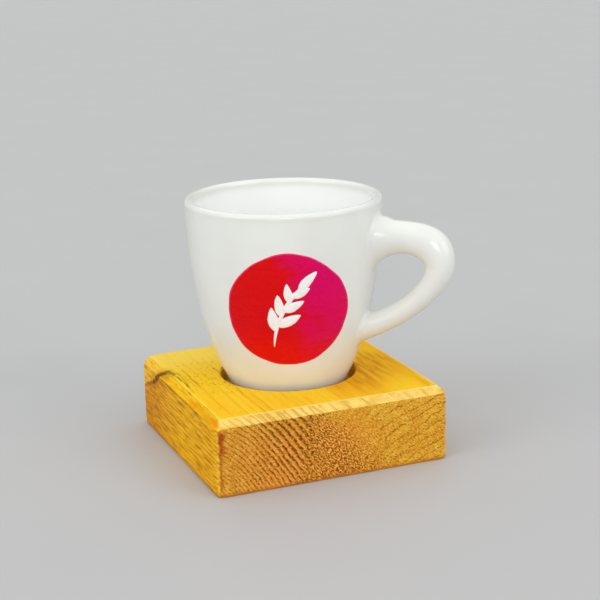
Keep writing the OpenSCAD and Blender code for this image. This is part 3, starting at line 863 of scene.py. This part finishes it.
def build_coat():
    """Thin closed coat: its back follows the bowl, its front has a rounded edge and brush waves."""
    theta = np.linspace(0, 2 * pi, COAT_COLS, endpoint=False)
    reach = coat_reach(theta)
    inner = np.linspace(COAT_SHOULDER, COAT_INNER, COAT_ROWS)[1:].tolist()

    def inset(gap):
        """The outline moved in by gap: evenly near the edge, shrunk towards the middle beyond."""
        shrink = (COAT_MIDDLE - gap) / (COAT_MIDDLE - COAT_SHOULDER)
        r = reach - gap if gap <= COAT_SHOULDER else (reach - COAT_SHOULDER) * shrink
        return r * np.cos(theta), r * np.sin(theta)

    back = inner[::-1] + [COAT_SHOULDER, 0.0]
    front = NEAR_EDGE + inner
    rings = [on_bowl(*inset(gap), COAT_BACK) for gap in back]
    for gap in front:
        u, v = inset(gap)
        round_in = 1 - min(gap / COAT_EDGE, 1)
        lift = PATCH_T * sqrt(1 - round_in ** 2) + COAT_LIFT
        relief = BRUSH_WAVE * np.sin(0.9 * v + 0.5 * np.sin(0.4 * u)) * min(gap, 1)
        rings.append(on_bowl(u, v, lift + relief))
    points, faces = poled(rings, on_bowl(0, 0, COAT_BACK), on_bowl(0, 0, PATCH_T + COAT_LIFT))
    edge = np.concatenate([np.repeat(back + front, COAT_COLS), [COAT_MIDDLE, COAT_MIDDLE]])
    obj = add_mesh("enamel_coat", points, faces, enamel("red_enamel"), 60)
    layer = obj.data.attributes.new("edge_mm", "FLOAT", "POINT")
    layer.data.foreach_set("value", edge.astype(np.float32))
    return obj


coat = build_coat()
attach(coat, "cup")
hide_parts("painted_patch")


def stroke_mesh(line_uv, half, seed):
    """Closed domed stroke along a line on the coat."""
    run = np.gradient(line_uv, axis=0)
    run /= np.linalg.norm(run, axis=1, keepdims=True)
    side = np.stack([-run[:, 1], run[:, 0]], axis=1)
    i = np.arange(len(line_uv))
    half = half * (1 + 0.03 * np.sin(0.31 * i + seed) + 0.015 * np.sin(0.83 * i + 2 * seed))
    w = np.linspace(-1, 1, STROKE_COLS)
    dome = np.sqrt(np.maximum(1 - np.abs(w) ** STROKE_DOME, 0)) * MOTIF_T
    rings = []
    for q in range(1, len(line_uv) - 1):
        u, v = (line_uv[q] + side[q] * (w * half[q])[:, None]).T
        top = on_bowl(u, v, PATCH_T + COAT_LIFT + dome * min(1.0, half[q] / FULL_HALF))
        low = on_bowl(u[::-1][1:-1], v[::-1][1:-1], PATCH_T - STROKE_SINK)
        rings.append(np.concatenate([top, low])[::-1])
    return poled(rings, on_bowl(*line_uv[0], PATCH_T), on_bowl(*line_uv[-1], PATCH_T))


def spun(points, angle):
    """Points in a plane turned by angle."""
    c, s = cos(angle), sin(angle)
    return points @ np.array([[c, -s], [s, c]]).T


def sprig_strokes():
    """Centre lines and half widths of the stem and leaves, in the coat's plane."""
    stem_r = (SPRIG_L ** 2 / 4 + STEM_BOW ** 2) / (2 * STEM_BOW)

    def placed(points):
        return spun(points - (SPRIG_L / 2, STEM_BOW / 2), STEM_LEAN)

    def stem_y(x):
        return STEM_BOW - stem_r + np.sqrt(stem_r ** 2 - (x - SPRIG_L / 2) ** 2)

    def leaf(root, angle, length, thick, curl):
        s = np.linspace(0, 1, 30)
        straight = np.stack([s * length, curl * length * np.sin(pi * s)], axis=1)
        full = np.clip(4 * s * (1 - s), 0, 1) ** 0.75
        half = thick / 2 * full * (1 + 0.18 * np.cos(pi * s))
        return placed(spun(straight, radians(angle)) + root), np.maximum(half, LEAST_HALF)

    x = np.linspace(0, SPRIG_L, 48)
    t = x / SPRIG_L
    taper = STEM_HALF * np.clip(4 * t * (1 - t), 0, 1) ** 0.6
    yield placed(np.stack([x, stem_y(x)], axis=1)), np.maximum(taper, LEAST_HALF)
    for pair in range(LEAF_PAIRS):
        x0 = (LEAF_FROM + LEAF_STEP * pair) * SPRIG_L
        size = 1 - 0.1 * pair
        for way_out in (-1, 1):
            root = np.array([x0 - way_out * 0.035 * SPRIG_L, float(stem_y(x0))])
            angle = way_out * LEAF_ANGLE
            back = 0.03 * SPRIG_L * way(angle)
            yield leaf(root - back, angle, LEAF_L * size, LEAF_T * size, way_out * 0.03)
    yield leaf(np.array(TIP_ROOT) * SPRIG_L, TIP_ANGLE, LEAF_L, LEAF_T * 0.9, 0.02)


def build_sprig():
    """The strokes joined into one closed piece."""
    material = white_enamel("white_enamel")
    whole = None
    for n, (line_uv, half) in enumerate(sprig_strokes()):
        points, faces = stroke_mesh(line_uv, half, 1.7 * n)
        part = add_mesh("sprig_stroke", points, faces, material, SPRIG_SHARP)
        if whole is None:
            whole = part
            whole.name = "enamel_sprig"
            continue
        join = whole.modifiers.new("join", "BOOLEAN")
        join.operation = "UNION"
        join.solver = "EXACT"
        join.object = part
        bpy.context.view_layer.update()
        solid = whole.evaluated_get(bpy.context.evaluated_depsgraph_get())
        solid = bpy.data.meshes.new_from_object(solid)
        whole.modifiers.clear()
        whole.data = solid
        bpy.data.objects.remove(part)
    clean = bmesh.new()
    clean.from_mesh(whole.data)
    bmesh.ops.remove_doubles(clean, verts=clean.verts[:], dist=0.002 * MM)
    clean.to_mesh(whole.data)
    clean.free()
    shade(whole.data, SPRIG_SHARP)
    return whole


sprig = build_sprig()
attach(sprig, "cup")
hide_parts("painted_motif")


# ---------------- wooden block

HALF = BLOCK_SIDE / 2
EDGE_STRIP = 1.6  # narrow rows beside each break
WALL_SOFT = [0, 0.4, 0.4, 0, 0, 0.7, 0.7, 0]
SEAT_BREAK = 0.6
SEAT_SOFT = [0, 0.5, 0.5, 0.5, 0]
ROW_STEP = 1.3
SIDE_POINTS, CORNER_POINTS, TOP_ROWS = 64, 5, 12
SEAT_ROWS = (16, 11, 6, 2)
UNDER_ROWS = (0.05, 0.3, 0.6, 0.85, 0.95)

# Upright corners: rounding, and wear of the top edge as sides of X and Y and share
CORNER_R = (1.6, 1.9, 1.3, 1.6)
FOOT_MORE, FOOT_MORE_H = 0.8, 6
INSET_LESS, LEAST_R, WORN_MORE = 0.45, 0.6, 0.5
WORN_R = 4.2
CORNER_WEAR = ((1, 1, 0.4), (-1, 1, 1.0), (-1, -1, 0.7), (1, -1, 0.7))
WEAR_NEAR, WEAR_FAR = 3, 11

# Unevenness
SEAT_CLEAR = 27
WAVE, FINE_WAVE, CUT_BACK, END_HOLLOW, TOP_WAVE = 0.10, 0.04, 0.12, 0.08, 0.06
CORNER_LOSS = 0.006


def square_ring(half, corners):
    """Square outline, each corner with its own rounding; always the same count of points."""
    points = []
    for q in range(4):
        before, corner = corners[q - 1], corners[q]
        a = q * pi / 2
        c, s = cos(a), sin(a)
        for y in np.linspace(before - half, half - corner, SIDE_POINTS):
            points.append((half, y, c, s))
        reach = half - corner
        for t in np.linspace(0, pi / 2, CORNER_POINTS + 2)[1:-1]:
            points.append((reach + corner * cos(t), reach + corner * sin(t), c, s))
    x, y, c, s = np.array(points).T
    return np.stack([x * c - y * s, x * s + y * c], axis=1)


def worn(inset, z):
    """Where a point of the side or chamfer lies once worn to a quarter round."""
    deep = BLOCK_H - z
    if deep > WORN_R or inset > WORN_R:
        return inset, z
    turn = atan2(WORN_R - deep, WORN_R - inset)
    return WORN_R * (1 - cos(turn)), BLOCK_H - WORN_R * (1 - sin(turn))


def corner_wear(points):
    """How much each point is worn: most at the block's upright corners."""
    share = np.zeros(len(points))
    for sx, sy, most in CORNER_WEAR:
        gap = np.hypot(points[:, 0] - sx * HALF, points[:, 1] - sy * HALF)
        share = np.maximum(share, most * (1 - smooth(gap, WEAR_NEAR, WEAR_FAR)))
    return share


def wall_rows():
    """Inset and height of the rows up the block's side, with softened breaks."""
    wall_line = rounded(
        [(EDGE_STRIP, 0), (BOTTOM_CHAMFER, 0), (0, BOTTOM_CHAMFER), (0, EDGE_STRIP),
         (0, BLOCK_H - CHAMFER - EDGE_STRIP), (0, BLOCK_H - CHAMFER), (CHAMFER, BLOCK_H),
         (CHAMFER + EDGE_STRIP, BLOCK_H)], WALL_SOFT)
    for a, b in zip(wall_line[:-1], wall_line[1:]):
        count = max(1, int(np.linalg.norm(b - a) / ROW_STEP))
        for t in range(count):
            yield a + (b - a) * t / count
    yield wall_line[-1]


def side_ring(inset, z):
    """One ring round the block, blended into its worn form near the corners."""
    low = FOOT_MORE * (1 - smooth(z, 0, FOOT_MORE_H))
    radii = (CORNER_R[0], CORNER_R[1] + low, *CORNER_R[2:])
    corners = [max(r - INSET_LESS * inset, LEAST_R) for r in radii]
    ring = raised(square_ring(HALF - inset, corners), z)
    worn_inset, worn_z = worn(inset, z)
    soft = raised(square_ring(HALF - worn_inset, [r + WORN_MORE for r in corners]), worn_z)
    return ring + (soft - ring) * corner_wear(ring)[:, None]


def block_skin():
    """Closed skin of the whole block: underside, side, top and seat."""
    seat_r = float(cup_r(SEAT_DEPTH)) + SEAT_GAP
    rings = [side_ring(inset, z) for inset, z in wall_rows()]
    outer_top, outer_low = rings[-1], rings[0]
    angle = np.arctan2(outer_top[:, 1], outer_top[:, 0])
    circle = np.stack([np.cos(angle), np.sin(angle)], axis=1)
    mouth = rounded(
        [(seat_r + EDGE_STRIP, BLOCK_H), (seat_r + SEAT_BREAK, BLOCK_H),
         (seat_r, BLOCK_H - SEAT_BREAK), (seat_r, SEAT_Z),
         (seat_r - EDGE_STRIP, SEAT_Z)], SEAT_SOFT)
    first = raised(circle * mouth[0][0], BLOCK_H)
    rings += [outer_top + (first - outer_top) * t for t in np.linspace(0, 1, TOP_ROWS)[1:-1]]
    rings += [raised(circle * r, z) for r, z in mouth]
    rings += [raised(circle * r, SEAT_Z) for r in SEAT_ROWS]
    under = [raised(outer_low[:, :2] * t, 0.0) for t in UNDER_ROWS]
    return poled(under + rings, (0, 0, 0), (0, 0, SEAT_Z))


def weathered(points):
    """Hand-worked unevenness: wavy sides and top, hollow end grain, ragged upright corners."""
    out = points.copy()
    for i, (x, y, z) in enumerate(points):
        if hypot(x, y) < SEAT_CLEAR or z < 0.02:
            continue
        q = Vector((x, y, z))
        near_x, near_y = (smooth(abs(v), HALF - 4, HALF - 1) for v in (x, y))
        push = WAVE * noise.noise(q * 0.11) + FINE_WAVE * noise.noise(q * 0.8 + Vector((7, 3, 1)))
        push_y = push - CUT_BACK + END_HOLLOW * noise.noise(q * 0.5)
        out[i, 0] += copysign(1, x) * near_x * (push - CUT_BACK)
        out[i, 1] += copysign(1, y) * near_y * push_y
        ragged = 0.5 + noise.noise(Vector((x * 0.1, y * 0.1, z * 0.9)))
        out[i, :2] *= 1 - CORNER_LOSS * (near_x * near_y) * ragged
        if z > BLOCK_H - CHAMFER - 0.5:
            wave = TOP_WAVE * noise.noise(q * 0.25 + Vector((2, 9, 4)))
            out[i, 2] += wave * smooth(z, BLOCK_H - 3, BLOCK_H - 2)
    return out


def build_boards():
    """The block's skin cut at the seam into two closed boards."""
    points, faces = block_skin()
    points = weathered(points)
    spin = Matrix.Rotation(BLOCK_TURN, 4, "Z")
    kinds = (
        ("board_narrow", "narrow_board", 1, wood("narrow_softwood", NARROW)),
        ("board_wide", "wide_board", -1, wood("wide_softwood", WIDE)),
    )
    for name, node, side, material in kinds:
        mesh = bmesh.new()
        made = [mesh.verts.new(q) for q in points.tolist()]
        for f in faces:
            mesh.faces.new([made[k] for k in f])
        cut = bmesh.ops.bisect_plane(
            mesh, geom=mesh.verts[:] + mesh.edges[:] + mesh.faces[:], dist=1e-5,
            plane_co=(SEAM_X, 0, 0), plane_no=(side, 0, 0), clear_outer=True)
        rim = [part for part in cut["geom_cut"] if isinstance(part, bmesh.types.BMEdge)]
        bmesh.ops.triangle_fill(mesh, edges=rim, use_beauty=True)
        bmesh.ops.recalc_face_normals(mesh, faces=mesh.faces[:])
        bmesh.ops.transform(mesh, matrix=Matrix.Scale(MM, 4) @ spin, verts=mesh.verts[:])
        data = bpy.data.meshes.new(name)
        mesh.to_mesh(data)
        mesh.free()
        data.materials.append(material)
        shade(data, 35)
        obj = link(name, data)
        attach(obj, "base")
        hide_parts(node)


build_boards()


# ---------------- stage, light and camera

# Floor: tones, and radius and height of the rings, which turn up into a far wall
FLOOR_TONES = ((0.52, 0.52, 0.518, 1), (0.55, 0.55, 0.548, 1))
FLOOR_RINGS = ((200, 0), (1500, 0), (5200, 0), (6200, 90), (6900, 420), (7200, 1000))
FLOOR_COLS = 96

# Lights: name, azimuth and elevation they come from and spread in degrees, strength
SUNS = (
    ("soft_left", -35, 22, 40, 0.74),
    ("soft_front", 20, 14, 24, 0.60),
    ("soft_right", 75, 20, 40, 0.64),
    ("top_soft", 0, 88, 120, 1.6),
)
SKY, SKY_STRENGTH = (0.95, 0.97, 1.0, 1), 0.35

# Camera, angles in degrees and lengths in millimetres, clipping in metres
YAW, PITCH, ROLL = 20.09, 15.15, -1.52
AIM_H, AIM_SIDE, DISTANCE = 49.12, 4.65, 494.4
LENS, SENSOR = 88.776, 36
CLIP_NEAR, CLIP_FAR = 0.01, 50


def build_floor():
    """Plain pale floor."""
    g = Graph("pale_floor")
    g.set(Base_Color=g.mix(g.noise(g.place(), 0.02, 3), *FLOOR_TONES), Roughness=0.6,
          Specular_IOR_Level=0.2)
    rings = [raised(r * around(FLOOR_COLS), z) for r, z in FLOOR_RINGS]
    points = np.concatenate(rings + [np.zeros((1, 3))])
    faces = tube_faces(len(rings), FLOOR_COLS)
    centre = len(points) - 1
    faces += [(centre, k, (k + 1) % FLOOR_COLS) for k in range(FLOOR_COLS)]
    floor = add_mesh("floor", points, faces, g.material, 60)


def add_sun(name, azimuth, elevation, spread, strength):
    """Soft light from far off."""
    lamp = bpy.data.lights.new(name, "SUN")
    lamp.angle = radians(spread)
    lamp.energy = strength
    az, el = radians(azimuth), radians(elevation)
    come = Vector((sin(az) * cos(el), -cos(az) * cos(el), sin(el)))
    obj = link(name, lamp)
    obj.rotation_euler = (-come).to_track_quat("-Z", "Y").to_euler()
    obj.location = come


def build_world():
    """Even, faintly cool light from all round."""
    world = bpy.data.worlds.new("studio")
    scene.world = world
    world.use_nodes = True
    tree = world.node_tree
    tree.nodes.clear()
    out = tree.nodes.new("ShaderNodeOutputWorld")
    back = tree.nodes.new("ShaderNodeBackground")
    back.inputs["Color"].default_value = SKY
    back.inputs["Strength"].default_value = SKY_STRENGTH
    tree.links.new(back.outputs[0], out.inputs[0])


def build_camera():
    """The camera fitted to the photograph."""
    yaw, pitch, roll = radians(YAW), radians(PITCH), radians(ROLL)
    right = Vector((cos(yaw), sin(yaw), 0))
    back = Vector((sin(yaw) * cos(pitch), -cos(yaw) * cos(pitch), sin(pitch)))
    up = back.cross(right)
    right_rolled = cos(roll) * right + sin(roll) * up
    up_rolled = -sin(roll) * right + cos(roll) * up
    place = (Vector((0, 0, AIM_H)) + right * AIM_SIDE + back * DISTANCE) * MM
    data = bpy.data.cameras.new("camera")
    data.sensor_fit = "HORIZONTAL"
    data.sensor_width = SENSOR
    data.lens = LENS
    data.clip_start = CLIP_NEAR
    data.clip_end = CLIP_FAR
    axes = Matrix((right_rolled, up_rolled, back)).transposed().to_4x4()
    camera = link("camera", data)
    camera.matrix_world = Matrix.Translation(place) @ axes
    scene.camera = camera


build_floor()
for sun in SUNS:
    add_sun(*sun)
build_world()
build_camera()
scene.view_settings.view_transform = "Standard"
